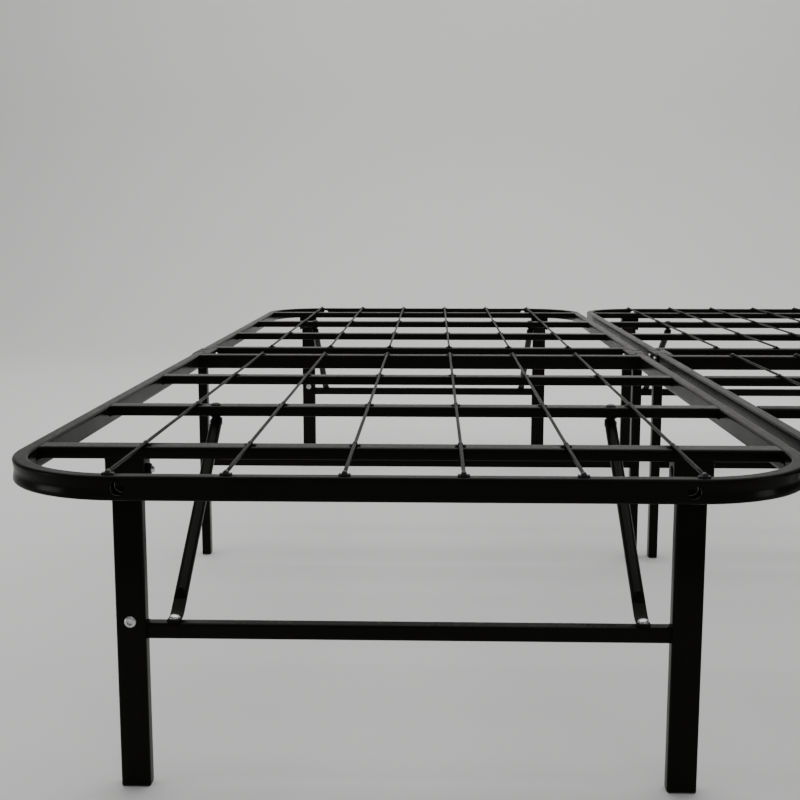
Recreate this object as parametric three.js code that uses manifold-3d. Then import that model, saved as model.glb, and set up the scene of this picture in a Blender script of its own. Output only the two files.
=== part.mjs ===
// Folding metal platform bed frame, queen size, in millimetres, +Z up.
// Two equal units stand side by side. Each unit is a foot deck and a head deck that fold down about a
// middle leg frame. Each deck carries a folding end leg frame and two swinging diagonal braces.
// The origin is on the floor under the middle of the bed. The foot end is at -Y, the head end at +Y.

import * as THREE from "three";
import { mergeVertices } from "three/addons/utils/BufferGeometryUtils.js";
import Module from "manifold-3d";

const wasm = await Module();
wasm.setup();

// ---- Driving dimensions ----

const BED_WIDTH = 1524;
const BED_LENGTH = 2032;
const RAIL_TOP = 355.6; // height of the deck's tube tops above the floor
const UNIT_GAP = 20; // free space between the two units
const GAP = 0.3; // clearance between pieces that touch

const RAIL_WIDTH = 15;
const RAIL_HEIGHT = 22;
const RAIL_EDGE = 2.5;
const CORNER_RADIUS = 125; // outer radius of the rail's bends

const MID_RAIL_DEPTH = 25;
const MID_RAIL_NEAR = 46; // from the middle of the bed to the mid rail's near face

const CROSSBAR_DEPTH = 27;
const CROSSBAR_HEIGHT = 12;
const CROSSBAR_EDGE = 1.8;
const CROSSBAR_CENTRES = [867.5, 607, 326.5]; // from the middle of the bed, outermost first

const WIRE_RADIUS = 1.8;
const WIRE_CENTRES = [-258, -154.8, -51.6, 51.6, 154.8, 258];
const WIRE_NEAR = 53.4; // from the middle of the bed to the wires' near ends
const WIRE_END_INSET = 12.4;

const LEG_CENTRE = 278; // from the unit's middle
const LEG_WIDTH = 30;
const LEG_DEPTH = 18;
const LEG_EDGE = 2;
const LEG_OUT = 864; // from the middle of the bed to the end legs' centre line
const LEG_PIVOT_DROP = 25; // below the rail top
const LEG_PIN_RADIUS = 4;

const STRETCHER_SIZE = 16;
const STRETCHER_TOP = 173;
const STRETCHER_EDGE = 2;
const END_STRETCHER_SHIFT = 2; // from the end legs' centre line towards the middle

const LEG_BRACKET_WIDTH = 39;
const LEG_BRACKET_LENGTH = 26;
const LEG_BRACKET_DROP = 40; // bottom of the ears below the rail top
const LEG_BRACKET_PLATE = 2.5;

const BRACE_CENTRE = 236; // from the unit's middle
const BRACE_RADIUS = 7;
const BRACE_PIN_RADIUS = 2.5;
const BRACE_PIN_DROP = 21; // below the rail top
const BRACE_TAB_WIDTH = 14;
const BRACE_TAB_PLATE = 3;
const BRACE_TAB_LENGTH = 19.5;
const BRACE_BEND_CLEAR = 4; // from the stretcher's inner face to the tab's bend
const BRACE_TUBE_SHORT = 20; // the tube stops this far above the bend
const BRACE_TAB_IN_TUBE = 24; // length of the tab inside the tube

const BRACE_SLOT_DEPTH = 8; // from the pin down the tube

const LUG_PLATE = 1.7;
const LUG_WIDTH = 12;
const LUG_LENGTH = 14;
const LUG_BLADE = 3;
const LUG_BLADE_LENGTH = 8;
const LUG_BLADE_BELOW_PIN = 5;
const RIVET_RADIUS = 5.5;
const RIVET_HEIGHT = 2.6;

const HINGE_PIVOT = 24; // from the middle of the bed to each deck's hinge pin
const HINGE_PIN_RADIUS = 4;
const HINGE_PLATE = 2;
const HINGE_HALF_LENGTH = 41;
const HINGE_INNER_SPACE = 9; // free space between a rail's inner face and the inner plate
const HINGE_WEB_HALF = 16.5; // half length of the web that fills the space between the rail ends
const MID_LEG_WIDTH = 15;
const MID_LEG_DEPTH = 22;
const MID_LEG_EDGE = 2;

const HEADBOARD_HOLE_RADIUS = 6;
const HEADBOARD_HOLE_CENTRE = 248;
const JOINING_HOLE_RADIUS = 3;
const JOINING_HOLE_OUT = 886;

// ---- Derived places ----

const UNIT_WIDTH = (BED_WIDTH - UNIT_GAP) / 2;
const HALF_UNIT = UNIT_WIDTH / 2;
const HALF_LENGTH = BED_LENGTH / 2;
const UNIT_CENTRE = (UNIT_GAP + UNIT_WIDTH) / 2;
const RAIL_INNER = HALF_UNIT - RAIL_WIDTH;
const RAIL_MIDDLE = HALF_UNIT - RAIL_WIDTH / 2;
const RAIL_BOTTOM = RAIL_TOP - RAIL_HEIGHT;
const RAIL_AXIS = RAIL_TOP - RAIL_HEIGHT / 2;
const RAIL_END = HINGE_PIVOT - RAIL_HEIGHT / 2;
const LEG_PIVOT = RAIL_TOP - LEG_PIVOT_DROP;
const BRACE_PIVOT = RAIL_TOP - BRACE_PIN_DROP;

// ---- Solids ----

const ROUND = 20; // sides of a pin, hole or boss
const BEND_STEPS = 14; // steps round each bend of a rail

function solid(geometry) {
  const bare = geometry.clone();
  bare.deleteAttribute("normal");
  bare.deleteAttribute("uv");
  const merged = mergeVertices(bare, 1e-4);
  return new wasm.Manifold(
    new wasm.Mesh({
      numProp: 3,
      vertProperties: new Float32Array(merged.attributes.position.array),
      triVerts: new Uint32Array(merged.index.array),
    }),
  );
}

function geometryOf(body) {
  const mesh = body.getMesh();
  const geometry = new THREE.BufferGeometry();
  geometry.setAttribute("position", new THREE.BufferAttribute(mesh.vertProperties, 3));
  geometry.setIndex(new THREE.BufferAttribute(mesh.triVerts, 1));
  const flat = geometry.toNonIndexed();
  flat.computeVertexNormals();
  return flat;
}

function join(...bodies) {
  return bodies.reduce((whole, body) => whole.add(body));
}

function box(x0, x1, y0, y1, z0, z1) {
  const block = new THREE.BoxGeometry(x1 - x0, y1 - y0, z1 - z0);
  return solid(block.translate((x0 + x1) / 2, (y0 + y1) / 2, (z0 + z1) / 2));
}

// A round bar along X between x0 and x1, centred on y and z.
function barX(x0, x1, y, z, radius) {
  const bar = new THREE.CylinderGeometry(radius, radius, x1 - x0, ROUND);
  return solid(bar.rotateZ(Math.PI / 2).translate((x0 + x1) / 2, y, z));
}

// A round bar along Y between y0 and y1, centred on x and z.
function barY(x, y0, y1, z, radius, sides = ROUND) {
  const bar = new THREE.CylinderGeometry(radius, radius, y1 - y0, sides);
  return solid(bar.translate(x, (y0 + y1) / 2, z));
}

// A plan outline in X and Y raised from z0 to z1, with rounded edges.
function raised(outline, z0, z1, edge) {
  const made = new THREE.ExtrudeGeometry(outline, {
    depth: z1 - z0 - 2 * edge,
    curveSegments: BEND_STEPS,
    bevelThickness: edge,
    bevelSize: edge,
    bevelOffset: -edge,
    bevelSegments: 2,
  });
  return solid(made.translate(0, 0, z0 + edge));
}

// A side outline in Y and Z made wide along X between x0 and x1. An edge above 0 rounds its rims.
function widened(outline, x0, x1, edge = 0) {
  const made = new THREE.ExtrudeGeometry(outline, {
    depth: x1 - x0 - 2 * edge,
    curveSegments: 6,
    bevelEnabled: edge > 0,
    bevelThickness: edge,
    bevelSize: edge,
    bevelOffset: -edge,
    bevelSegments: 2,
  });
  // the outline's first axis becomes Y, its second Z, and the extrusion X
  made.applyMatrix4(new THREE.Matrix4().set(0, 0, 1, 0, 1, 0, 0, 0, 0, 1, 0, 0, 0, 0, 0, 1));
  return solid(made.translate(x0 + edge, 0, 0));
}

function rectangle(y0, y1, z0, z1) {
  const outline = new THREE.Shape();
  outline.moveTo(y0, z0);
  outline.lineTo(y1, z0);
  outline.lineTo(y1, z1);
  outline.lineTo(y0, z1);
  outline.closePath();
  return outline;
}

function roundedRectangle(y0, y1, z0, z1, radius) {
  const outline = new THREE.Shape();
  outline.absarc(y1 - radius, z0 + radius, radius, -Math.PI / 2, 0);
  outline.absarc(y1 - radius, z1 - radius, radius, 0, Math.PI / 2);
  outline.absarc(y0 + radius, z1 - radius, radius, Math.PI / 2, Math.PI);
  outline.absarc(y0 + radius, z0 + radius, radius, Math.PI, 1.5 * Math.PI);
  outline.closePath();
  return outline;
}

// A rectangular tube across the unit.
function tubeX(x0, x1, y0, y1, z0, z1, edge) {
  const made = new THREE.ExtrudeGeometry(roundedRectangle(y0, y1, z0, z1, edge), {
    depth: x1 - x0,
    curveSegments: 1,
    bevelEnabled: false,
  });
  made.applyMatrix4(new THREE.Matrix4().set(0, 0, 1, 0, 1, 0, 0, 0, 0, 1, 0, 0, 0, 0, 0, 1));
  return solid(made.translate(x0, 0, 0));
}

// ---- The pieces of one head deck, at +Y, with the unit's middle at x = 0 ----

function perimeterRail() {
  const inner = CORNER_RADIUS - RAIL_WIDTH;
  const bendX = HALF_UNIT - CORNER_RADIUS;
  const bendY = HALF_LENGTH - CORNER_RADIUS;
  const plan = new THREE.Shape();
  plan.moveTo(-RAIL_INNER, RAIL_END);
  plan.absarc(-bendX, bendY, inner, Math.PI, Math.PI / 2, true);
  plan.absarc(bendX, bendY, inner, Math.PI / 2, 0, true);
  plan.lineTo(RAIL_INNER, RAIL_END);
  plan.lineTo(HALF_UNIT, RAIL_END);
  plan.absarc(bendX, bendY, CORNER_RADIUS, 0, Math.PI / 2);
  plan.absarc(-bendX, bendY, CORNER_RADIUS, Math.PI / 2, Math.PI);
  plan.lineTo(-HALF_UNIT, RAIL_END);
  plan.closePath();
  let rail = raised(plan, RAIL_BOTTOM, RAIL_TOP, RAIL_EDGE);
  for (const side of [-1, 1]) {
    const x0 = side * RAIL_MIDDLE - RAIL_WIDTH;
    const x1 = side * RAIL_MIDDLE + RAIL_WIDTH;
    // the end is rounded about the hinge pin, so that it turns between the hinge plates
    const corner = box(x0, x1, RAIL_END - 1, HINGE_PIVOT, RAIL_BOTTOM - 1, RAIL_TOP + 1);
    rail = rail.subtract(corner.subtract(barX(x0 - 1, x1 + 1, HINGE_PIVOT, RAIL_AXIS, RAIL_HEIGHT / 2)));
    rail = rail.subtract(barX(x0, x1, HINGE_PIVOT, RAIL_AXIS, HINGE_PIN_RADIUS + GAP));
    rail = rail.subtract(barX(x0, x1, JOINING_HOLE_OUT, RAIL_AXIS, JOINING_HOLE_RADIUS));
    const hole = [HALF_LENGTH - 2 * RAIL_WIDTH, HALF_LENGTH + 1];
    rail = rail.subtract(
      barY(side * HEADBOARD_HOLE_CENTRE, ...hole, RAIL_AXIS, HEADBOARD_HOLE_RADIUS),
    );
  }
  return rail;
}

function midRail() {
  const x = RAIL_INNER - GAP;
  return tubeX(
    -x, x, MID_RAIL_NEAR, MID_RAIL_NEAR + MID_RAIL_DEPTH, RAIL_BOTTOM, RAIL_TOP, RAIL_EDGE,
  );
}

function plainCrossbar(centre) {
  const x = RAIL_INNER - GAP;
  const half = CROSSBAR_DEPTH / 2;
  const bottom = RAIL_TOP - CROSSBAR_HEIGHT;
  return tubeX(-x, x, centre - half, centre + half, bottom, RAIL_TOP, CROSSBAR_EDGE);
}

// A U-bracket under the outermost crossbar, with the pin that its leg turns on.
function legBracket(x) {
  const top = RAIL_TOP - CROSSBAR_HEIGHT;
  const y0 = LEG_OUT - LEG_BRACKET_LENGTH / 2;
  const y1 = LEG_OUT + LEG_BRACKET_LENGTH / 2;
  const half = LEG_BRACKET_WIDTH / 2;
  const web = box(x - half, x + half, y0, y1, top - LEG_BRACKET_PLATE, top + 1);
  const ear = rectangle(y0, y1, RAIL_TOP - LEG_BRACKET_DROP, top);
  const left = widened(ear, x - half, x - half + LEG_BRACKET_PLATE);
  const right = widened(ear, x + half - LEG_BRACKET_PLATE, x + half);
  // the front plate stops the leg at upright
  const front = box(x - half, x + half, y1 - LEG_BRACKET_PLATE, y1, RAIL_TOP - LEG_BRACKET_DROP, top);
  const pin = barX(x - half + 1, x + half - 1, LEG_OUT, LEG_PIVOT, LEG_PIN_RADIUS);
  return join(web, left, right, front, pin);
}

function legCrossbar(centre) {
  return join(plainCrossbar(centre), legBracket(-LEG_CENTRE), legBracket(LEG_CENTRE));
}

// A lug riveted under the second crossbar: a plate, a blade and the pin that a brace turns on.
function braceLug(x, centre) {
  const top = RAIL_TOP - CROSSBAR_HEIGHT;
  const plate = box(
    x - LUG_WIDTH / 2, x + LUG_WIDTH / 2, centre - LUG_LENGTH / 2, centre + LUG_LENGTH / 2,
    top - LUG_PLATE, top + 1,
  );
  const blade = box(
    x - LUG_BLADE / 2, x + LUG_BLADE / 2, centre - LUG_BLADE_LENGTH / 2, centre + LUG_BLADE_LENGTH / 2,
    BRACE_PIVOT - LUG_BLADE_BELOW_PIN, top,
  );
  const reach = BRACE_RADIUS - 2 * GAP;
  const pin = barX(x - reach, x + reach, centre, BRACE_PIVOT, BRACE_PIN_RADIUS);
  const profile = [
    new THREE.Vector2(0, -1),
    new THREE.Vector2(RIVET_RADIUS, -1),
    new THREE.Vector2(RIVET_RADIUS, RIVET_HEIGHT / 2),
    new THREE.Vector2(RIVET_RADIUS * 0.7, RIVET_HEIGHT),
    new THREE.Vector2(0, RIVET_HEIGHT),
  ];
  const head = new THREE.LatheGeometry(profile, ROUND).rotateX(Math.PI / 2);
  return join(plate, blade, pin, solid(head.translate(x, centre, RAIL_TOP)));
}

function braceCrossbar(centre) {
  return join(plainCrossbar(centre), braceLug(-BRACE_CENTRE, centre), braceLug(BRACE_CENTRE, centre));
}

function deckWire(x) {
  const z = RAIL_TOP + GAP + WIRE_RADIUS;
  return barY(x, WIRE_NEAR, HALF_LENGTH - WIRE_END_INSET, z, WIRE_RADIUS, 10);
}

// Two legs that turn on the bracket pins, welded to a stretcher.
function endLegFrame() {
  const half = LEG_DEPTH / 2;
  const side = new THREE.Shape();
  side.moveTo(LEG_OUT - half, 0);
  side.lineTo(LEG_OUT + half, 0);
  side.absarc(LEG_OUT, LEG_PIVOT, half, 0, Math.PI);
  side.closePath();
  const reach = LEG_CENTRE - LEG_WIDTH / 2;
  const centre = LEG_OUT - END_STRETCHER_SHIFT;
  const y0 = centre - STRETCHER_SIZE / 2;
  const y1 = centre + STRETCHER_SIZE / 2;
  const z0 = STRETCHER_TOP - STRETCHER_SIZE;
  let frame = tubeX(-reach - 1, reach + 1, y0, y1, z0, STRETCHER_TOP, STRETCHER_EDGE);
  for (const x of [-LEG_CENTRE, LEG_CENTRE]) {
    const x0 = x - LEG_WIDTH / 2;
    const x1 = x + LEG_WIDTH / 2;
    const leg = widened(side, x0, x1, LEG_EDGE);
    frame = frame.add(leg.subtract(barX(x0 - 1, x1 + 1, LEG_OUT, LEG_PIVOT, LEG_PIN_RADIUS + GAP)));
  }
  return frame;
}

// A flat strip of the given thickness along points in Y and Z.
function strip(points, thickness) {
  const sides = [[], []];
  points.forEach((point, i) => {
    const before = points[Math.max(i - 1, 0)];
    const after = points[Math.min(i + 1, points.length - 1)];
    const along = after.clone().sub(before).normalize();
    const across = new THREE.Vector2(-along.y, along.x).multiplyScalar(thickness / 2);
    sides[0].push(point.clone().sub(across));
    sides[1].push(point.clone().add(across));
  });
  return new THREE.Shape([...sides[0], ...sides[1].reverse()]);
}

// A round tube, slotted over the lug's blade, with a bent tab that lies on the stretcher.
function brace(x) {
  const top = new THREE.Vector2(CROSSBAR_CENTRES[1], BRACE_PIVOT);
  const inner = LEG_OUT - END_STRETCHER_SHIFT - STRETCHER_SIZE / 2;
  const level = STRETCHER_TOP + GAP + BRACE_TAB_PLATE / 2;
  const bend = new THREE.Vector2(inner - BRACE_BEND_CLEAR, level);
  const along = bend.clone().sub(top).normalize();
  const length = bend.distanceTo(top);
  const onTube = (d) => bend.clone().sub(along.clone().multiplyScalar(d));
  const tubeLength = length - BRACE_TUBE_SHORT;
  const tube = new THREE.CylinderGeometry(BRACE_RADIUS, BRACE_RADIUS, tubeLength, 16);
  tube.translate(0, tubeLength / 2, 0);
  tube.rotateX(Math.atan2(along.y, along.x));
  tube.translate(x, top.x, top.y);
  const eye = barX(x - BRACE_RADIUS + GAP, x + BRACE_RADIUS - GAP, top.x, top.y, BRACE_RADIUS);
  const tabPath = [
    onTube(BRACE_TUBE_SHORT + BRACE_TAB_IN_TUBE),
    onTube(BRACE_BEND_CLEAR),
    bend.clone().add(new THREE.Vector2(BRACE_BEND_CLEAR, 0)),
    bend.clone().add(new THREE.Vector2(BRACE_TAB_LENGTH, 0)),
  ];
  const half = BRACE_TAB_WIDTH / 2;
  const tab = widened(strip(tabPath, BRACE_TAB_PLATE), x - half, x + half);
  const hole = barX(x - 10, x + 10, top.x, top.y, BRACE_PIN_RADIUS + GAP);
  const slotPath = [onTube(length + BRACE_RADIUS + 1), onTube(length - BRACE_SLOT_DEPTH)];
  const cheek = LUG_BLADE / 2 + GAP;
  const slot = widened(strip(slotPath, 2 * BRACE_RADIUS + 2), x - cheek, x + cheek);
  return join(solid(tube), eye, tab).subtract(hole).subtract(slot);
}

// ---- The middle leg frame of one unit ----

// An inverted U, level with the rail tops. Its web is full width only between the rail ends.
function hingeBracket(side) {
  const across = (a, b, ...rest) => (side > 0 ? box(a, b, ...rest) : box(-b, -a, ...rest));
  const inner = RAIL_INNER - HINGE_INNER_SPACE - HINGE_PLATE;
  const outer = HALF_UNIT + GAP + HINGE_PLATE;
  const end = HINGE_HALF_LENGTH;
  const under = RAIL_TOP - HINGE_PLATE + 0.2;
  const web = across(inner, outer, -HINGE_WEB_HALF, HINGE_WEB_HALF, under, RAIL_TOP);
  const ledge = across(inner, RAIL_INNER - GAP, -end, end, under, RAIL_TOP);
  const innerPlate = across(inner, inner + HINGE_PLATE, -end, end, RAIL_BOTTOM, RAIL_TOP);
  const outerPlate = across(outer - HINGE_PLATE, outer, -end, end, RAIL_BOTTOM, RAIL_TOP);
  const pins = [-HINGE_PIVOT, HINGE_PIVOT].map((y) =>
    barX(
      side > 0 ? inner + 1 : 1 - outer, side > 0 ? outer - 1 : -inner - 1, y, RAIL_AXIS,
      HINGE_PIN_RADIUS,
    ),
  );
  return join(web, ledge, innerPlate, outerPlate, ...pins);
}

function midLegFrame() {
  const reach = RAIL_MIDDLE - MID_LEG_WIDTH / 2;
  const half = STRETCHER_SIZE / 2;
  const z0 = STRETCHER_TOP - STRETCHER_SIZE;
  let frame = tubeX(-reach - 1, reach + 1, -half, half, z0, STRETCHER_TOP, STRETCHER_EDGE);
  const outline = rectangle(-MID_LEG_DEPTH / 2, MID_LEG_DEPTH / 2, 0, RAIL_TOP - 1);
  for (const side of [-1, 1]) {
    const x = side * RAIL_MIDDLE;
    const leg = widened(outline, x - MID_LEG_WIDTH / 2, x + MID_LEG_WIDTH / 2, MID_LEG_EDGE);
    // a filler that joins the leg to both hinge plates
    const inner = RAIL_INNER - HINGE_INNER_SPACE - 1;
    const outer = HALF_UNIT + GAP + 1;
    const filler = box(
      side > 0 ? inner : -outer, side > 0 ? outer : -inner,
      -MID_LEG_DEPTH / 2 + MID_LEG_EDGE, MID_LEG_DEPTH / 2 - MID_LEG_EDGE,
      RAIL_BOTTOM + 1, RAIL_TOP - 1,
    );
    frame = join(frame, leg, filler, hingeBracket(side));
  }
  return frame;
}

// ---- Assembly ----

const bed = new THREE.Group();

function piece(parent, name, geometry) {
  const coat = new THREE.MeshStandardMaterial({ color: 0x0e0e0f, roughness: 0.42, metalness: 0.25 });
  const mesh = new THREE.Mesh(geometry, coat);
  mesh.name = name;
  parent.add(mesh);
}

const deckPieces = {
  perimeter_rail: geometryOf(perimeterRail()),
  mid_rail: geometryOf(midRail()),
  crossbar_1: geometryOf(legCrossbar(CROSSBAR_CENTRES[0])),
  crossbar_2: geometryOf(braceCrossbar(CROSSBAR_CENTRES[1])),
  crossbar_3: geometryOf(plainCrossbar(CROSSBAR_CENTRES[2])),
  leg_frame: geometryOf(endLegFrame()),
};
WIRE_CENTRES.forEach((x, i) => {
  deckPieces[`wire_${i + 1}`] = geometryOf(deckWire(x));
});
const braceAt = {
  [-1]: geometryOf(brace(-BRACE_CENTRE)),
  [1]: geometryOf(brace(BRACE_CENTRE)),
};
const middle = geometryOf(midLegFrame());

for (const [unitName, unitSide] of [["left", -1], ["right", 1]]) {
  const unit = new THREE.Group();
  unit.position.x = unitSide * UNIT_CENTRE;
  bed.add(unit);
  piece(unit, `${unitName}_mid_leg_frame`, middle);
  for (const [endName, endSide] of [["foot", -1], ["head", 1]]) {
    const deck = new THREE.Group();
    deck.scale.y = endSide; // the foot deck mirrors the head deck
    unit.add(deck);
    for (const [name, geometry] of Object.entries(deckPieces)) {
      piece(deck, `${unitName}_${endName}_${name}`, geometry);
    }
    piece(deck, `${unitName}_${endName}_brace_outer`, braceAt[unitSide]);
    piece(deck, `${unitName}_${endName}_brace_inner`, braceAt[-unitSide]);
  }
}

export default bed;
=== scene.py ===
import math

import bmesh
import bpy
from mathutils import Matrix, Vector, noise


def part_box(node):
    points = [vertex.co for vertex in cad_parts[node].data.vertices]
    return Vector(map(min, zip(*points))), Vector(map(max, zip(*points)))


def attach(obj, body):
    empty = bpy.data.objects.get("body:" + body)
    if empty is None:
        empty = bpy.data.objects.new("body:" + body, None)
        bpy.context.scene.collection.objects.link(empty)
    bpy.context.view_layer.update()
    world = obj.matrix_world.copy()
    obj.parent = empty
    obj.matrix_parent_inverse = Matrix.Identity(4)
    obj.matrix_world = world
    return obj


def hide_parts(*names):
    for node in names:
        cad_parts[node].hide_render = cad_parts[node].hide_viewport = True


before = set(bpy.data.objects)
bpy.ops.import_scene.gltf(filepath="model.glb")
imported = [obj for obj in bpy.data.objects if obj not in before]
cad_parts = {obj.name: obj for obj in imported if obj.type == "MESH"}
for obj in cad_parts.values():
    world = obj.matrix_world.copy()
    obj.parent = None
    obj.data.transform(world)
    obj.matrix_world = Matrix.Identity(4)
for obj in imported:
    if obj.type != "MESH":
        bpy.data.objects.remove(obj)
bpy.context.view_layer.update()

# Lengths are in millimetres here and become metres when a mesh is made.
# A deck is described for the head end (+Y) with its unit's middle at x = 0, and placed four times.
MM = 0.001
X, Y, Z = Vector((1, 0, 0)), Vector((0, 1, 0)), Vector((0, 0, 1))
UNITS = {"left": -1, "right": 1}
ENDS = {"foot": -1, "head": 1}

# ---- Sizes: the rail's extent read from its CAD node, the others given ----


def node_box(name):
    low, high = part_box(name)
    return low / MM, high / MM


rail_low, rail_high = node_box("right_head_perimeter_rail")
UNIT_CENTRE = (rail_low.x + rail_high.x) / 2
HALF_UNIT = (rail_high.x - rail_low.x) / 2
HALF_LENGTH = rail_high.y
RAIL_TOP = rail_high.z
RAIL_BOTTOM = rail_low.z
RAIL_AXIS = (RAIL_TOP + RAIL_BOTTOM) / 2
RAIL_WIDTH = 15
RAIL_INNER = HALF_UNIT - RAIL_WIDTH
RAIL_MIDDLE = HALF_UNIT - RAIL_WIDTH / 2
CORNER = 125  # outer radius of the rail's bends
HINGE_PIVOT = 24  # from the middle of the bed
HINGE_PLATE = 2
HINGE_SET_IN = 9  # from a rail's inner face to the inner plate
HOLE_CENTRE = 248
HOLE_RADIUS = 6
JOINING_HOLE_OUT = 886
JOINING_HOLE_RADIUS = 3
TUBE_WALL = 1.3
TUBE_HOLLOW = 9.3  # radius of the space behind a hole in a rail's wall
RAIL_ROUND = 2.6  # radius of the rail tube's edges
CREASE_OUTER, CREASE_INNER = 1.9, 0.3  # how far a bend's two faces shift towards its centre

LEG_CENTRE = 278
LEG_WIDTH = 30
LEG_DEPTH = 18
LEG_OUT = 864
LEG_ROUND = 3
LEG_FOOT = 1.6  # where a leg tube ends, above the foot of its plug
LEG_PIVOT = RAIL_TOP - 25
BRACKET_HALF = 19.5  # half the width of a leg bracket
BRACKET_DROP = 40  # from the rail's top to the bracket's lower edge
STRETCHER = 16
STRETCHER_ROUND = 2.4
STRETCHER_OUT = LEG_OUT - 2
STRETCHER_TOP = 173
STRETCHER_AXIS = STRETCHER_TOP - STRETCHER / 2
STUD_LEVEL = STRETCHER_TOP + 3
BRACE_CENTRE = 236
BRACE_PIN = RAIL_TOP - 21
BRACE_TOP_OUT = 607
BRACE_DIAMETER = 14
BRACE_STRAP = (14, 3.4, 1.4)  # the pressed part's width, thickness and edge radius
PRESS_START, PRESS_END = 31, 20  # back from the bend, where the tube is pressed flat
LUG_PLATE = 1.7
TAB_LEVEL = STRETCHER_TOP + 1.8
TAB_BOLT_SEAT = TAB_LEVEL + 1.6
TAB_BEND_OUT = STRETCHER_OUT - STRETCHER / 2 - 4
TAB_END_OUT = TAB_BEND_OUT + 19.5
CROSSBARS = {1: 867.5, 2: 607, 3: 326.5}
CROSSBAR_DEPTH, CROSSBAR_HEIGHT = 27, 12
MID_RAIL_OUT, MID_RAIL_DEPTH = 58.5, 25
WIRES = [-258, -154.8, -51.6, 51.6, 154.8, 258]
WIRE_NEAR, WIRE_FAR = 53.4, 1003.6
WIRE_RADIUS = 1.8
MID_LEG = (15, 22)

# Radius and height of the bolt and rivet heads
LEG_HEAD = (6.2, 1.8)
STUD_HEAD = (6.2, 3.4)
TAB_HEAD = (5.9, 3.8)
RIVET_HEAD = (5.4, 2.8)
PRESS_RIVET = (2.3, 1.5)
HINGE_HEAD_OUTSIDE, HINGE_HEAD_INSIDE = (5.6, 3.2), (5.6, 3.4)
LEG_NUT = (10, 4.6)  # across its flats, and its height


# ---- Mesh helpers ----


def rounded(width, height, radius, steps=4, along=3):
    """A rounded rectangle's outline, counter-clockwise, with points along its faces too."""
    radius = min(radius, width / 2 - 0.01, height / 2 - 0.01)
    corners = [(1, -1, -90), (1, 1, 0), (-1, 1, 90), (-1, -1, 180)]
    arcs = []
    for sx, sy, start in corners:
        cx, cy = sx * (width / 2 - radius), sy * (height / 2 - radius)
        angles = [math.radians(start + 90 * i / steps) for i in range(steps + 1)]
        arcs.append([(cx + radius * math.cos(a), cy + radius * math.sin(a)) for a in angles])
    points = []
    for arc, following in zip(arcs, arcs[1:] + arcs[:1]):
        points += arc
        (ax, ay), (bx, by) = arc[-1], following[0]
        for i in range(1, along + 1):
            t = i / (along + 1)
            points.append((ax + (bx - ax) * t, ay + (by - ay) * t))
    return points


def ring(centre, across, up, outline):
    return [centre + across * u + up * v for u, v in outline]


class Body:
    """A bmesh under construction, in millimetres."""

    def __init__(self):
        self.bm = bmesh.new()

    def loft(self, rings):
        """Joins rings of points in order and closes both ends."""
        made = [[self.bm.verts.new(p) for p in points] for points in rings]
        count = len(made[0])
        for a, b in zip(made, made[1:]):
            for i in range(count):
                j = (i + 1) % count
                self.bm.faces.new((a[i], a[j], b[j], b[i]))
        self.bm.faces.new(list(reversed(made[0])))
        self.bm.faces.new(made[-1])
        return self

    def bar(self, start, end, across, up, outline, bevel=0.6):
        """A straight bar with its end rims eased."""
        start, end = Vector(start), Vector(end)
        along = (end - start).normalized()
        inner = [(u * (1 - bevel / 12), v * (1 - bevel / 12)) for u, v in outline]
        return self.loft(
            [
                ring(start, across, up, inner),
                ring(start + along * bevel, across, up, outline),
                ring(end - along * bevel, across, up, outline),
                ring(end, across, up, inner),
            ]
        )

    def turned(self, centre, axis, profile, sides=28, oval=1.0):
        """A round piece: profile is (radius, height along axis) from the base to the tip."""
        centre, axis = Vector(centre), Vector(axis).normalized()
        u = axis.orthogonal().normalized()
        if abs(axis.dot(Z)) > 0.9:
            u = X.copy()
        v = axis.cross(u)
        rings = []
        for radius, height in profile:
            angles = [2 * math.pi * i / sides for i in range(sides)]
            here = centre + axis * height
            rings.append(
                [here + u * (radius * oval * math.cos(a)) + v * (radius * math.sin(a)) for a in angles]
            )
        return self.loft(rings)

    def bead(self, points, radius, seed, closed=False):
        """A rippled weld bead along points."""
        dense = []
        chain = points + points[:1] if closed else points
        for a, b in zip(chain, chain[1:]):
            a, b = Vector(a), Vector(b)
            steps = max(2, int((b - a).length / 1.3))
            dense += [a.lerp(b, i / steps) for i in range(steps)]
        dense.append(Vector(chain[-1]))
        rings = []
        for i, p in enumerate(dense):
            before, after = dense[max(i - 1, 0)], dense[min(i + 1, len(dense) - 1)]
            along = (after - before).normalized()
            u = along.orthogonal().normalized()
            v = along.cross(u)
            wobble = noise.noise(Vector((i * 0.31, seed, 0)))
            size = radius * (1 + 0.16 * math.sin(i * 1.9) + 0.25 * wobble)
            if not closed and i in (0, len(dense) - 1):
                size *= 0.35
            angles = [2 * math.pi * k / 8 for k in range(8)]
            rings.append([p + (u * math.cos(a) + v * math.sin(a)) * size for a in angles])
        return self.loft(rings)


def hex_head(body, centre, axis, flats, height):
    centre, axis = Vector(centre), Vector(axis).normalized()
    u = axis.orthogonal().normalized()
    v = axis.cross(u)
    rings = []
    for scale, h in ((0.93, 0), (1, 0.35), (1, height - 0.8), (0.9, height)):
        size = flats / math.sqrt(3) * scale
        angles = [math.pi / 3 * i for i in range(6)]
        rings.append(
            [centre + axis * h + (u * math.cos(a) + v * math.sin(a)) * size for a in angles]
        )
    body.loft(rings)


def pan_head(body, centre, axis, radius, height):
    """A pan head with a shallow round recess."""
    profile = [
        (radius * 0.9, 0),
        (radius, 0.3),
        (radius, height * 0.35),
        (radius * 0.93, height * 0.68),
        (radius * 0.78, height * 0.9),
        (radius * 0.6, height),
        (radius * 0.5, height * 0.97),
        (radius * 0.44, height * 0.6),
        (radius * 0.4, height * 0.25),
        (radius * 0.08, height * 0.2),
    ]
    body.turned(centre, axis, profile)


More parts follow.
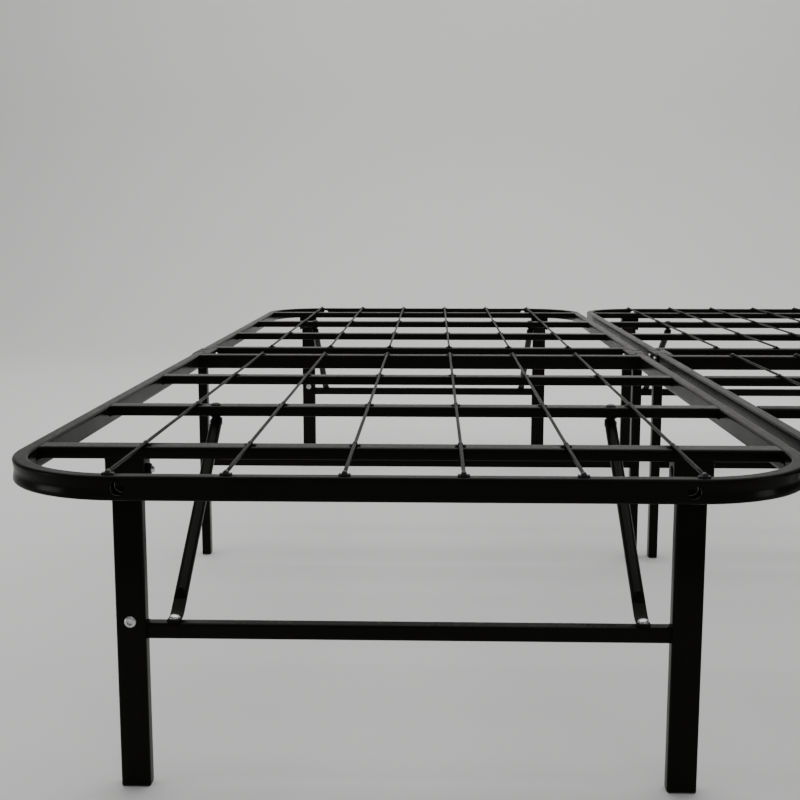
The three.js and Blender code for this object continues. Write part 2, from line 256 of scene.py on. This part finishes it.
def dome(body, centre, axis, radius, height, oval=1.0):
    profile = [(radius * 0.97, 0), (radius, height * 0.15)]
    for i in range(1, 7):
        a = math.pi / 2 * i / 7
        profile.append((radius * math.cos(a), height * (0.15 + 0.85 * math.sin(a))))
    profile.append((radius * 0.05, height))
    body.turned(centre, axis, profile, oval=oval)


# ---- Materials ----


class Nodes:
    """Shorthand for building one node material."""

    def __init__(self, name):
        self.material = bpy.data.materials.new(name)
        self.material.use_nodes = True
        self.tree = self.material.node_tree
        self.shader = self.tree.nodes["Principled BSDF"]
        self.where = self.tree.nodes.new("ShaderNodeTexCoord").outputs["Object"]

    def link(self, source, target):
        self.tree.links.new(source, target)

    def noise(self, scale, detail=3.0, roughness=0.55):
        node = self.tree.nodes.new("ShaderNodeTexNoise")
        node.inputs["Scale"].default_value = scale
        node.inputs["Detail"].default_value = detail
        node.inputs["Roughness"].default_value = roughness
        self.link(self.where, node.inputs["Vector"])
        return node.outputs["Fac"]

    def spread(self, value, low, high, out_low, out_high):
        node = self.tree.nodes.new("ShaderNodeMapRange")
        settings = (("From Min", low), ("From Max", high), ("To Min", out_low), ("To Max", out_high))
        for key, number in settings:
            node.inputs[key].default_value = number
        self.link(value, node.inputs["Value"])
        return node.outputs["Result"]

    def mix(self, factor, a, b):
        node = self.tree.nodes.new("ShaderNodeMix")
        node.data_type = "RGBA"
        self.link(factor, node.inputs["Factor"])
        for socket, value in ((node.inputs[6], a), (node.inputs[7], b)):
            if isinstance(value, tuple):
                socket.default_value = (*value, 1)
            else:
                self.link(value, socket)
        return node.outputs[2]

    def math(self, operation, a, b):
        node = self.tree.nodes.new("ShaderNodeMath")
        node.operation = operation
        for socket, value in zip(node.inputs, (a, b)):
            if isinstance(value, (int, float)):
                socket.default_value = value
            else:
                self.link(value, socket)
        return node.outputs["Value"]

    def bump(self, heights):
        """Chains bumps: each entry is (height, strength, distance in metres)."""
        normal = None
        for height, strength, distance in heights:
            node = self.tree.nodes.new("ShaderNodeBump")
            node.inputs["Strength"].default_value = strength
            node.inputs["Distance"].default_value = distance
            self.link(height, node.inputs["Height"])
            if normal is not None:
                self.link(normal, node.inputs["Normal"])
            normal = node.outputs["Normal"]
        self.link(normal, self.shader.inputs["Normal"])

    def upward(self):
        """1 on faces that look up, 0 on the rest."""
        geometry = self.tree.nodes.new("ShaderNodeNewGeometry")
        split = self.tree.nodes.new("ShaderNodeSeparateXYZ")
        self.link(geometry.outputs["Normal"], split.inputs["Vector"])
        return self.spread(split.outputs["Z"], 0.6, 1.0, 0.0, 1.0)


def coat_material(name, dark, light, rough_low, rough_high, sheen_and_dust):
    n = Nodes(name)
    tone = n.mix(n.noise(9, 4), dark, light)
    speck = n.spread(n.noise(2600, 2), 0.66, 0.8, 0, 0.12)
    tone = n.mix(speck, tone, (0.012, 0.012, 0.013))
    # Faces that look up are painted lighter: a painted sheen for light grazing the tops, with a little
    # dust; the same mask raises their roughness.
    top_sheen_dust_mask = n.math("MULTIPLY", n.upward(), n.spread(n.noise(55, 5, 0.7), 0.35, 0.75, 0.35, 1.0))
    tone = n.mix(n.math("MULTIPLY", top_sheen_dust_mask, sheen_and_dust), tone, (0.2, 0.19, 0.18))
    n.link(tone, n.shader.inputs["Base Color"])
    handled = n.spread(n.noise(14, 4, 0.55), 0.3, 0.7, rough_low, rough_high)
    n.link(n.math("ADD", handled, n.math("MULTIPLY", top_sheen_dust_mask, 0.06)), n.shader.inputs["Roughness"])
    n.bump([(n.noise(38, 1), 0.035, 0.0005), (n.noise(1100, 2), 0.06, 0.00005)])
    n.shader.inputs["IOR"].default_value = 1.115
    return n.material


def zinc_material():
    n = Nodes("zinc_plated_steel")
    tone = n.mix(n.noise(420, 4), (0.50, 0.50, 0.49), (0.78, 0.78, 0.77))
    stain = n.spread(n.noise(160, 5, 0.7), 0.58, 0.8, 0, 0.4)
    n.link(n.mix(stain, tone, (0.30, 0.28, 0.25)), n.shader.inputs["Base Color"])
    n.shader.inputs["Metallic"].default_value = 1.0
    n.link(n.spread(n.noise(700, 4), 0.3, 0.7, 0.2, 0.42), n.shader.inputs["Roughness"])
    n.bump([(n.noise(1500, 3), 0.15, 0.00012)])
    return n.material


def plastic_material():
    n = Nodes("black_plastic")
    tone = n.mix(n.noise(60, 3), (0.008, 0.008, 0.009), (0.017, 0.017, 0.018))
    n.link(tone, n.shader.inputs["Base Color"])
    n.link(n.spread(n.noise(240, 4), 0.3, 0.7, 0.40, 0.58), n.shader.inputs["Roughness"])
    n.bump([(n.noise(2200, 2), 0.3, 0.0001)])
    return n.material


# The last value sets how far up-facing faces are painted lighter, as painted top sheen with a little
# dust.
COAT = coat_material(
    "black_powder_coat", (0.0056, 0.0054, 0.0043), (0.0078, 0.0075, 0.0062), 0.20, 0.27, 0.010
)
WIRE_COAT = coat_material(
    "black_wire_coat", (0.0045, 0.0043, 0.0036), (0.007, 0.0067, 0.0058), 0.28, 0.36, 0.0
)
ZINC = zinc_material()
PLASTIC = plastic_material()


# ---- Placing ----


def make(body, name, cad_body, material, unit=0, end=1, replaces=(), smooth=38):
    """Turns a body into an object at its unit and end, on its CAD body."""
    bm = body.bm.copy()
    for v in bm.verts:
        v.co = Vector((v.co.x + unit * UNIT_CENTRE, v.co.y * end, v.co.z)) * MM
    bmesh.ops.recalc_face_normals(bm, faces=bm.faces)
    mesh = bpy.data.meshes.new(name)
    bm.to_mesh(mesh)
    bm.free()
    mesh.materials.append(material)
    mesh.shade_smooth()
    mesh.set_sharp_from_angle(angle=math.radians(smooth))
    piece = bpy.data.objects.new(name, mesh)
    bpy.context.scene.collection.objects.link(piece)
    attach(piece, cad_body)
    if replaces:
        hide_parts(*replaces)
    return piece


# ---- One deck's pieces ----


def perimeter_rail():
    """The U-bent rail. Its outer face is drawn in a little at each bend, and its ends are round."""
    height = RAIL_TOP - RAIL_BOTTOM
    radius = CORNER - RAIL_WIDTH / 2
    bend_x, bend_y = HALF_UNIT - CORNER, HALF_LENGTH - CORNER
    stations = []
    for i in range(9):
        a = math.radians(78 - 78 * i / 8)
        stations.append((RAIL_MIDDLE, HINGE_PIVOT - 11 * math.sin(a), 0, math.cos(a), 0))
    for i in range(1, 18):
        stations.append((RAIL_MIDDLE, HINGE_PIVOT + (bend_y - HINGE_PIVOT) * i / 18, 0, 1, 0))
    for i in range(33):
        a = math.pi / 2 * i / 32
        pinch = math.sin(math.pi * i / 32) ** 0.6
        stations.append((bend_x + radius * math.cos(a), bend_y + radius * math.sin(a), a, 1, pinch))
    for i in range(1, 6):
        stations.append((bend_x * (1 - i / 6), bend_y + radius, math.pi / 2, 1, 0))
    mirrored = [(-x, y, math.pi - a, s, p) for x, y, a, s, p in reversed(stations)]
    stations.append((0, bend_y + radius, math.pi / 2, 1, 0))
    rings = []
    for x, y, a, share, pinch in stations + mirrored:
        out = Vector((math.cos(a), math.sin(a), 0))
        outline = rounded(RAIL_WIDTH, height * share, RAIL_ROUND, along=7)
        drawn = []
        for u, v in outline:
            crease = max(0.0, 1 - abs(v + 0.5) / (height * 0.42)) ** 1.2
            u -= (CREASE_OUTER if u > 0 else CREASE_INNER) * pinch * crease
            drawn.append((u, v))
        rings.append(ring(Vector((x, y, RAIL_AXIS)), out, Z, drawn))
    body = Body().loft(rings)
    cutters = Body()
    for side in (-1, 1):
        for centre, axis, radius, sides in (
            ((side * HOLE_CENTRE, HALF_LENGTH - RAIL_WIDTH / 2, RAIL_AXIS), Y, HOLE_RADIUS, 40),
            ((side * RAIL_MIDDLE, JOINING_HOLE_OUT, RAIL_AXIS), X, JOINING_HOLE_RADIUS, 24),
        ):
            inside = RAIL_WIDTH / 2 - TUBE_WALL
            profile = [(radius, -20), (radius, -inside), (TUBE_HOLLOW, -inside + 0.02)]
            profile += [(r, -h) for r, h in reversed(profile)]
            cutters.turned(centre, axis, profile, sides)
    return cut(body, cutters)


def as_object(body, name):
    mesh = bpy.data.meshes.new(name)
    body.bm.to_mesh(mesh)
    made = bpy.data.objects.new(name, mesh)
    bpy.context.scene.collection.objects.link(made)
    return made


def cut(body, cutters):
    """Body less the cutters, as a new body."""
    bmesh.ops.recalc_face_normals(body.bm, faces=body.bm.faces)
    bmesh.ops.recalc_face_normals(cutters.bm, faces=cutters.bm.faces)
    whole, knife = as_object(body, "cut_whole"), as_object(cutters, "cut_knife")
    modifier = whole.modifiers.new("cut", "BOOLEAN")
    modifier.operation = "DIFFERENCE"
    modifier.solver = "EXACT"
    modifier.object = knife
    bpy.context.view_layer.update()
    shown = whole.evaluated_get(bpy.context.evaluated_depsgraph_get())
    result = Body()
    result.bm.from_mesh(shown.to_mesh())
    shown.to_mesh_clear()
    for gone in (whole, knife):
        mesh = gone.data
        bpy.data.objects.remove(gone)
        bpy.data.meshes.remove(mesh)
    return result


def straight_tube(centre_y, depth, height, radius):
    """A rectangular tube across the deck, its top level with the rails."""
    z = RAIL_TOP - height / 2
    reach = RAIL_INNER - 0.2
    ends = (-reach, centre_y, z), (reach, centre_y, z)
    return Body().bar(*ends, Y, Z, rounded(depth, height, radius), 0.2)


def deck_welds():
    """Beads under each crossbar end and at the mid rail's sides."""
    body = Body()
    tubes = [(centre, CROSSBAR_DEPTH, CROSSBAR_HEIGHT) for centre in CROSSBARS.values()]
    tubes.append((MID_RAIL_OUT, MID_RAIL_DEPTH, RAIL_TOP - RAIL_BOTTOM))
    for k, (centre, depth, height) in enumerate(tubes):
        for side in (-1, 1):
            x = side * (RAIL_INNER - 0.7)
            low = RAIL_TOP - height
            half = depth / 2
            path = [
                (x, centre - half - 0.2, RAIL_TOP - 2.5),
                (x, centre - half - 0.2, low + 2),
                (x, centre - half + 2, low - 0.2),
                (x, centre + half - 2, low - 0.2),
                (x, centre + half + 0.2, low + 2),
                (x, centre + half + 0.2, RAIL_TOP - 2.5),
            ]
            body.bead(path, 0.9, 10 * k + side)
    return body


def wire(x, number):
    """A wire with the slight waviness of straightened rod."""
    z = RAIL_TOP + 0.3 + WIRE_RADIUS
    outline = [
        (WIRE_RADIUS * math.cos(2 * math.pi * i / 16), WIRE_RADIUS * math.sin(2 * math.pi * i / 16))
        for i in range(16)
    ]
    rings = []
    steps = 48
    for i in range(steps + 1):
        y = WIRE_NEAR + (WIRE_FAR - WIRE_NEAR) * i / steps
        sway = 0.3 * noise.noise(Vector((y * 0.006, number * 3.7, 0.5)))
        rise = 0.25 * noise.noise(Vector((y * 0.008, number * 5.1, 4.5)))
        rings.append(ring(Vector((x + sway, y, z + rise)), X, Z, outline))
    eased = [(u * 0.7, v * 0.7) for u, v in outline]
    first = ring(Vector((x, WIRE_NEAR - 0.7, z)), X, Z, eased)
    last = ring(Vector((x, WIRE_FAR + 0.7, z)), X, Z, eased)
    rings = [first] + rings + [last]
    return Body().loft([list(reversed(r)) for r in rings])


def wire_clips():
    """A moulded saddle over each wire at the end rail, the crossbars and the mid rail."""
    body = Body()
    arch = [
        (2.5 * math.cos(math.radians(a)), 2.0 + 2.5 * math.sin(math.radians(a)))
        for a in range(0, 181, 20)
    ]
    outline = [(-5.3, 0), (5.3, 0), (5.3, 1.5), (4.6, 2.0), (3.0, 1.5)] + arch
    outline += [(-3.0, 1.5), (-4.6, 2.0), (-5.3, 1.5)]
    small = [(u * 0.9, v * 0.9) for u, v in outline]
    half = 2.6
    seats = [*CROSSBARS.values(), MID_RAIL_OUT, HALF_LENGTH - RAIL_WIDTH / 2 - 1.5]
    for x in WIRES:
        for y in seats:
            places = ((-half, small), (-half + 0.6, outline), (half - 0.6, outline), (half, small))
            body.loft(
                [[Vector((x - u, y + d, RAIL_TOP + 0.05 + v)) for u, v in shape] for d, shape in places]
            )
    return body


def leg_bracket(x):
    """A pressed bracket with a web, two ears and a front plate that stops the leg at upright."""
    body = Body()
    top, bottom = RAIL_TOP - CROSSBAR_HEIGHT, RAIL_TOP - BRACKET_DROP
    outer, plate, back, front = BRACKET_HALF, 2.5, -13, 13
    plan = [(-outer, back), (-outer + plate, back), (-outer + plate, front - plate)]
    plan += [(outer - plate, front - plate), (outer - plate, back), (outer, back)]
    for cx, start in ((outer - 2.5, 0), (-outer + 2.5, 90)):
        for i in range(5):
            a = math.radians(start + 22.5 * i)
            plan.append((cx + 2.5 * math.cos(a), front - 2.5 + 2.5 * math.sin(a)))
    levels = ((bottom, 0.985), (bottom + 0.7, 1), (top - 0.01, 1))
    rings = []
    for z, scale in levels:
        shaped = [(u * scale, v * (scale if v > 0 else 1)) for u, v in plan]
        rings.append([Vector((x + u, LEG_OUT + v, z)) for u, v in shaped])
    body.loft(rings)
    body.bar(
        (x - outer + 0.3, LEG_OUT, top - 1.2), (x + outer - 0.3, LEG_OUT, top - 1.2), Y, Z,
        rounded(25.4, 2.4, 0.6), 0.2,
    )
    return body


def brace_lug(x):
    """A plate under the second crossbar with a blade that goes into the brace's slotted end."""
    body = Body()
    top = RAIL_TOP - CROSSBAR_HEIGHT
    plate = rounded(12, 14, 2)
    faces = (top - LUG_PLATE, top - 0.01)
    body.loft([ring(Vector((x, BRACE_TOP_OUT, z)), X, Y, plate) for z in faces])
    sections = []
    levels = ((BRACE_PIN - 5, 2.2), (BRACE_PIN - 4.2, 3.3), (BRACE_PIN - 2.6, 4))
    for z, half in levels + ((top - 2.6, 4), (top - 1.2, 5.4)):
        sections.append(ring(Vector((x, BRACE_TOP_OUT, z)), X, Y, rounded(3, 2 * half, 0.4)))
    body.loft(sections)
    for side in (-1, 1):
        profile = [(2.5, -5.6), (2.5, -0.2), (3.4, 0), (3.2, 0.4), (2.4, 0.6)]
        body.turned((x + side * 6.6, BRACE_TOP_OUT, BRACE_PIN), X * side, profile)
    return body


def stretcher(body, reach, centre_y):
    """The square tube between two legs, its ends let 0.4 mm into them."""
    ends = [(side * (reach + 0.4), centre_y, STRETCHER_AXIS) for side in (-1, 1)]
    return body.bar(*ends, Y, Z, rounded(STRETCHER, STRETCHER, STRETCHER_ROUND), 0.2)


def end_leg_frame():
    body = Body()
    outline = rounded(LEG_WIDTH, LEG_DEPTH, LEG_ROUND)
    top = LEG_PIVOT + 5
    for side in (-1, 1):
        x = side * LEG_CENTRE
        body.bar((x, LEG_OUT, LEG_FOOT), (x, LEG_OUT, top), X, Y, outline, 0.5)
    return stretcher(body, LEG_CENTRE - LEG_WIDTH / 2, STRETCHER_OUT)


def square_welds(reach, centre_y):
    """Beads all round both ends of a stretcher."""
    body = Body()
    half = STRETCHER / 2 + 0.1
    z = STRETCHER_AXIS
    for side in (-1, 1):
        x = side * (reach - 0.2)
        e = 2.2
        path = [(-half, -half + e), (-half + e, -half), (half - e, -half), (half, -half + e)]
        path += [(half, half - e), (half - e, half), (-half + e, half), (-half, half - e)]
        body.bead([(x, centre_y + u, z + v) for u, v in path], 0.5, reach + side, closed=True)
    return body


def plug(body, x, y, width, depth):
    body.loft(
        [
            ring(Vector((x, y, 0)), X, Y, rounded(width - 2.2, depth - 2.2, 2)),
            ring(Vector((x, y, 0.7)), X, Y, rounded(width - 0.6, depth - 0.6, 2.7)),
            ring(Vector((x, y, 1.7)), X, Y, rounded(width - 0.6, depth - 0.6, 2.7)),
            ring(Vector((x, y, 4.0)), X, Y, rounded(width - 5, depth - 5, 1)),
        ]
    )


def brace(x):
    """A round tube, pressed flat near its lower end and bent to lie on the stretcher."""
    pin = Vector((x, BRACE_TOP_OUT, BRACE_PIN))
    bend = Vector((x, TAB_BEND_OUT, TAB_LEVEL))
    along = (bend - pin).normalized()
    length = (bend - pin).length
    tab = Y.copy()
    round_tube = (BRACE_DIAMETER, BRACE_DIAMETER, BRACE_DIAMETER / 2)

    def section(t):
        w, h, r = (a + (b - a) * t for a, b in zip(round_tube, BRACE_STRAP))
        return rounded(w, h, r, steps=5, along=1)

    rings = []

    def station(p, direction, t):
        rings.append(ring(p, X, X.cross(direction), section(t)))

    # the upper end is rounded about the pin, at the tube's full width
    for turn in (84, 70, 55, 40, 25, 12):
        back, half = (BRACE_DIAMETER / 2 * f(math.radians(turn)) for f in (math.sin, math.cos))
        eye = rounded(BRACE_DIAMETER - 0.6, 2 * half, half, steps=5, along=1)
        rings.append(ring(pin - along * back, X, X.cross(along), eye))
    press_start, press_end = length - PRESS_START, length - PRESS_END
    for i in range(9):
        station(pin + along * (press_start * i / 8), along, 0)
    for i in range(1, 9):
        t = i / 8
        station(pin + along * (press_start + (press_end - press_start) * t), along, t * t * (3 - 2 * t))
    a, c = bend - along * 8, bend + tab * 6
    for i in range(8):
        t = i / 7
        p = a * (1 - t) ** 2 + bend * (2 * t * (1 - t)) + c * t * t
        direction = ((bend - a) * (1 - t) + (c - bend) * t).normalized()
        station(p, direction, 1)
    end = Vector((x, TAB_END_OUT, TAB_LEVEL))
    for back, narrow in ((4, 1), (2, 0.93), (0.8, 0.78), (0, 0.55)):
        outline = [(u * narrow, v) for u, v in section(1)]
        rings.append(ring(end - tab * back, X, X.cross(tab), outline))
    slot = Body().bar(pin - along * 12, pin + along * 8, X, X.cross(along), rounded(3.6, 20, 0.4), 0.1)
    body = cut(Body().loft(rings), slot)
    rivet = bend - along * PRESS_START
    dome(body, rivet + X.cross(along) * 6.7, X.cross(along), *PRESS_RIVET)
    return body


def mid_leg_frame():
    body = Body()
    width, depth = MID_LEG
    for side in (-1, 1):
        x = side * RAIL_MIDDLE
        outline = rounded(width, depth, LEG_ROUND)
        body.bar((x, 0, LEG_FOOT), (x, 0, RAIL_TOP - 0.5), X, Y, outline, 0.5)
    return stretcher(body, RAIL_MIDDLE - width / 2, 0)


def hinge_bracket(side):
    """A pressed inverted U, level with the rail tops, with its inner plate set in from the rail."""
    body = Body()
    plate = HINGE_PLATE
    outer = HALF_UNIT + 0.3 + plate
    inner = RAIL_INNER - HINGE_SET_IN - plate
    ledge = RAIL_INNER - 0.4
    under = RAIL_TOP - 1.8

    def spread(outlines):
        rings = [[Vector((side * u, y, v)) for u, v in shape] for y, shape in outlines]
        body.loft(rings if side < 0 else [list(reversed(r)) for r in rings])

    def edge_arc(centre, start):
        found = []
        for i in range(5):
            a = math.radians(start + 22.5 * i)
            found.append((centre + 1.8 * math.cos(a), RAIL_TOP - 1.8 + 1.8 * math.sin(a)))
        return found

    lifts = ((-41, 6), (-40, 3.2), (-37.5, 1), (-34, 0), (34, 0), (37.5, 1), (40, 3.2), (41, 6))
    strip, flank = [], []
    for y, lift in lifts:
        low = RAIL_BOTTOM + lift
        across = [(inner, low), (inner + plate, low), (inner + plate, under)]
        across += [(ledge, under), (ledge, RAIL_TOP - 0.1)]
        strip.append((y, across + edge_arc(inner + 1.8, 90)))
        side_face = [(outer - plate, low), (outer, low)] + edge_arc(outer - 1.8, 0)
        flank.append((y, side_face + [(outer - plate, RAIL_TOP)]))
    spread(strip)
    spread(flank)
    near, far = ledge - 1, outer - plate + 1
    web = [(near, under), (far, under), (far, RAIL_TOP - 0.1), (near, RAIL_TOP - 0.1)]
    spread([(-16.5, web), (16.5, web)])
    return body


deck_bodies = {
    "rail": perimeter_rail(),
    "mid_rail": straight_tube(MID_RAIL_OUT, MID_RAIL_DEPTH, RAIL_TOP - RAIL_BOTTOM, 3),
    "welds": deck_welds(),
    "clips": wire_clips(),
    "legs": end_leg_frame(),
    "leg_welds": square_welds(LEG_CENTRE - LEG_WIDTH / 2, STRETCHER_OUT),
}
for number, centre in CROSSBARS.items():
    deck_bodies[f"crossbar_{number}"] = straight_tube(centre, CROSSBAR_DEPTH, CROSSBAR_HEIGHT, 2.4)
for number, x in enumerate(WIRES, 1):
    deck_bodies[f"wire_{number}"] = wire(x, number)

leg_plugs = Body()
rivet_heads = Body()
for side in (-1, 1):
    deck_bodies[f"brace_{side}"] = brace(side * BRACE_CENTRE)
    plug(leg_plugs, side * LEG_CENTRE, LEG_OUT, LEG_WIDTH, LEG_DEPTH)
    dome(rivet_heads, (side * BRACE_CENTRE, BRACE_TOP_OUT, RAIL_TOP), Z, *RIVET_HEAD, oval=1.08)


def build_deck(unit_name, unit, end_name, end):
    """Makes every piece of one deck, its leg frame and its braces."""
    name = f"{unit_name}_{end_name}"
    deck, legs = f"{name}_deck", f"{name}_legs"
    place = {"unit": unit, "end": end}
    stand_ins = [
        ("rail", "rail_tube", "perimeter_rail", COAT),
        ("mid_rail", "mid_tube", "mid_rail", COAT),
    ]
    stand_ins += [(f"crossbar_{i}", f"crossbar_tube_{i}", f"crossbar_{i}", COAT) for i in CROSSBARS]
    stand_ins += [(f"wire_{i}", f"wire_rod_{i}", f"wire_{i}", WIRE_COAT) for i in range(1, 7)]
    for key, piece_name, node, material in stand_ins:
        made = (deck_bodies[key], f"{name}_{piece_name}", deck, material)
        make(*made, **place, replaces=[f"{name}_{node}"])
    make(deck_bodies["welds"], f"{name}_deck_welds", deck, COAT, **place, smooth=60)
    make(deck_bodies["clips"], f"{name}_wire_clips", deck, PLASTIC, **place)
    make(rivet_heads, f"{name}_rivet_heads", deck, PLASTIC, **place)
    make(deck_bodies["legs"], f"{name}_leg_tubes", legs, COAT, **place, replaces=[f"{name}_leg_frame"])
    make(deck_bodies["leg_welds"], f"{name}_leg_welds", legs, COAT, **place, smooth=60)
    make(leg_plugs, f"{name}_leg_plugs", legs, PLASTIC, **place)

    pivot_bolts, pivot_nuts, leg_washers = Body(), Body(), Body()
    for side_name, side in (("outer", unit), ("inner", -unit)):
        x = side * LEG_CENTRE
        make(leg_bracket(x), f"{name}_leg_bracket_{side_name}", deck, COAT, **place)
        # low heads, but for the outer leg's nut and bright bolt end on its inner side
        ear_faces = [(x + s * side * BRACKET_HALF, LEG_OUT, LEG_PIVOT) for s in (1, -1)]
        dome(pivot_nuts, ear_faces[0], X * side, *LEG_HEAD)
        if side == unit:
            hex_head(pivot_nuts, ear_faces[1], X * -side, *LEG_NUT)
            thread = [(3.3, -1), (3.3, 2.2), (2.7, 2.9)]
            pivot_bolts.turned((x - side * 24, LEG_OUT, LEG_PIVOT), X * -side, thread)
        else:
            dome(pivot_nuts, ear_faces[1], X * -side, *LEG_HEAD)
        for ear in (-1, 1):
            washer = [(6.4, 0), (7.0, 0.3), (7.0, 1.5), (6.2, 1.9)]
            seat = x + ear * (LEG_WIDTH / 2 + 0.05)
            leg_washers.turned((seat, LEG_OUT, LEG_PIVOT), X * ear, washer)
        lug = brace_lug(side * BRACE_CENTRE)
        make(lug, f"{name}_brace_lug_{side_name}", deck, COAT, **place)
        rider = f"{name}_brace_{side_name}"
        make(deck_bodies[f"brace_{side}"], f"{rider}_tube", rider, COAT, **place, replaces=[rider])
        tab_bolt = Body()
        dome(tab_bolt, (side * BRACE_CENTRE, STRETCHER_OUT, TAB_BOLT_SEAT), Z, *TAB_HEAD)
        make(tab_bolt, f"{rider}_bolt", rider, ZINC, **place)
    make(pivot_bolts, f"{name}_leg_bolts", deck, ZINC, **place)
    make(pivot_nuts, f"{name}_leg_nuts", deck, COAT, **place)
    make(leg_washers, f"{name}_leg_washers", deck, PLASTIC, **place)
    stay_bolt = Body()
    front = LEG_OUT + LEG_DEPTH / 2
    for face, axis in ((front, Y), (front - LEG_DEPTH, -Y)):
        pan_head(stay_bolt, (unit * LEG_CENTRE, face, STUD_LEVEL), axis, *STUD_HEAD)
    make(stay_bolt, f"{name}_leg_stud", legs, ZINC, **place)


def build_middle(unit_name, unit):
    """Makes every piece of one middle leg frame and its hinges."""
    frame_node = f"{unit_name}_mid_leg_frame"
    make(mid_leg_frame(), f"{unit_name}_mid_legs", "middle", COAT, unit, replaces=[frame_node])
    mid_welds = square_welds(RAIL_MIDDLE - MID_LEG[0] / 2, 0)
    make(mid_welds, f"{unit_name}_mid_welds", "middle", COAT, unit, smooth=60)
    mid_plugs, hinge_bolts, hinge_spacers = Body(), Body(), Body()
    for side_name, side in (("outer", unit), ("inner", -unit)):
        plug(mid_plugs, side * RAIL_MIDDLE, 0, *MID_LEG)
        make(hinge_bracket(side), f"{unit_name}_hinge_bracket_{side_name}", "middle", COAT, unit)
        for y in (-HINGE_PIVOT, HINGE_PIVOT):
            out = HALF_UNIT + 0.3 + HINGE_PLATE
            inner = RAIL_INNER - HINGE_SET_IN
            inside = side * (inner - HINGE_PLATE)
            dome(hinge_bolts, (side * out, y, RAIL_AXIS), X * side, *HINGE_HEAD_OUTSIDE)
            dome(hinge_bolts, (inside, y, RAIL_AXIS), X * -side, *HINGE_HEAD_INSIDE)
            spacer = [(6.6, 0), (7, 0.4), (7, 1.2), (5.2, 1.5)]
            spacer += [(5.2, 7.2), (7, 7.5), (7, 8.4), (6.6, 8.7)]
            hinge_spacers.turned((side * inner, y, RAIL_AXIS), X * side, spacer)
    make(mid_plugs, f"{unit_name}_mid_plugs", "middle", PLASTIC, unit)
    make(hinge_bolts, f"{unit_name}_hinge_bolts", "middle", ZINC, unit)
    make(hinge_spacers, f"{unit_name}_hinge_spacers", "middle", PLASTIC, unit)


for unit_name, unit in UNITS.items():
    for end_name, end in ENDS.items():
        build_deck(unit_name, unit, end_name, end)
    build_middle(unit_name, unit)

# ---- Studio ----


def studio_material(name, colour, rough):
    n = Nodes(name)
    low = tuple(c * 0.97 for c in colour)
    n.link(n.mix(n.noise(1.5, 4), low, colour), n.shader.inputs["Base Color"])
    n.link(n.spread(n.noise(4, 3), 0.3, 0.7, rough, rough + 0.1), n.shader.inputs["Roughness"])
    return n.material


def studio_floor():
    """A pale floor that curves up into a backdrop behind the head end."""
    front, back, curve, height, half_width = -6.0, 3.2, 1.2, 5.0, 8.0
    bm = bmesh.new()
    profile = [(front, 0.0), (back, 0.0)]
    for i in range(1, 13):
        a = math.pi / 2 * i / 12
        profile.append((back + curve * math.sin(a), curve - curve * math.cos(a)))
    profile.append((back + curve, height))
    rows = [[bm.verts.new((x, y, z)) for y, z in profile] for x in (-half_width, half_width)]
    for i in range(len(profile) - 1):
        bm.faces.new((rows[0][i], rows[1][i], rows[1][i + 1], rows[0][i + 1]))
    mesh = bpy.data.meshes.new("studio_floor")
    bm.to_mesh(mesh)
    bm.free()
    mesh.shade_smooth()
    mesh.materials.append(studio_material("pale_floor", (0.80, 0.79, 0.775), 0.6))
    made = bpy.data.objects.new("studio_floor", mesh)
    bpy.context.scene.collection.objects.link(made)


def area_light(name, place, target, size, power):
    data = bpy.data.lights.new(name, "AREA")
    data.shape = "RECTANGLE"
    data.size, data.size_y = size
    data.energy = power
    light = bpy.data.objects.new(name, data)
    light.location = place
    light.visible_camera = False
    light.rotation_euler = (Vector(target) - Vector(place)).to_track_quat("-Z", "Y").to_euler()
    bpy.context.scene.collection.objects.link(light)


studio_floor()
area_light("ceiling_soft", (0, 1.0, 3.4), (0, 0.6, 0), (6, 5), 172)
area_light("backdrop_wash", (0, 1.6, 3.2), (0, 4.4, 1.0), (6, 0.8), 22)
area_light("front_spot", (1.2, -4.2, 3.0), (0, 0, 0.2), (0.8, 0.8), 10)
area_light("left_strip", (-3.0, -1.5, 0.5), (-0.7, -1.0, 0.33), (1.0, 0.25), 7)
area_light("right_strip", (3.4, -1.9, 0.5), (0.7, -1.0, 0.33), (1.0, 0.25), 7)

world = bpy.data.worlds.new("soft_world")
bpy.context.scene.world = world
world.use_nodes = True
background = world.node_tree.nodes["Background"]
background.inputs["Color"].default_value = (0.92, 0.95, 1.0, 1)
background.inputs["Strength"].default_value = 0.2

# The photograph's view: the camera looks down and a little to the left of straight ahead.
CAMERA_PLACE = (-0.3608, -2.0207, 0.5733)
CAMERA_DOWN, CAMERA_LEFT = 8.486, 1.626  # degrees
CAMERA_LENS = 53.89  # millimetres, for a sensor 36 wide

camera_data = bpy.data.cameras.new("camera")
camera_data.sensor_width = 36
camera_data.lens = CAMERA_LENS
camera_data.clip_start = 0.02
camera = bpy.data.objects.new("camera", camera_data)
camera.location = CAMERA_PLACE
camera.rotation_euler = (math.radians(90 - CAMERA_DOWN), 0, math.radians(CAMERA_LEFT))
bpy.context.scene.collection.objects.link(camera)
bpy.context.scene.camera = camera
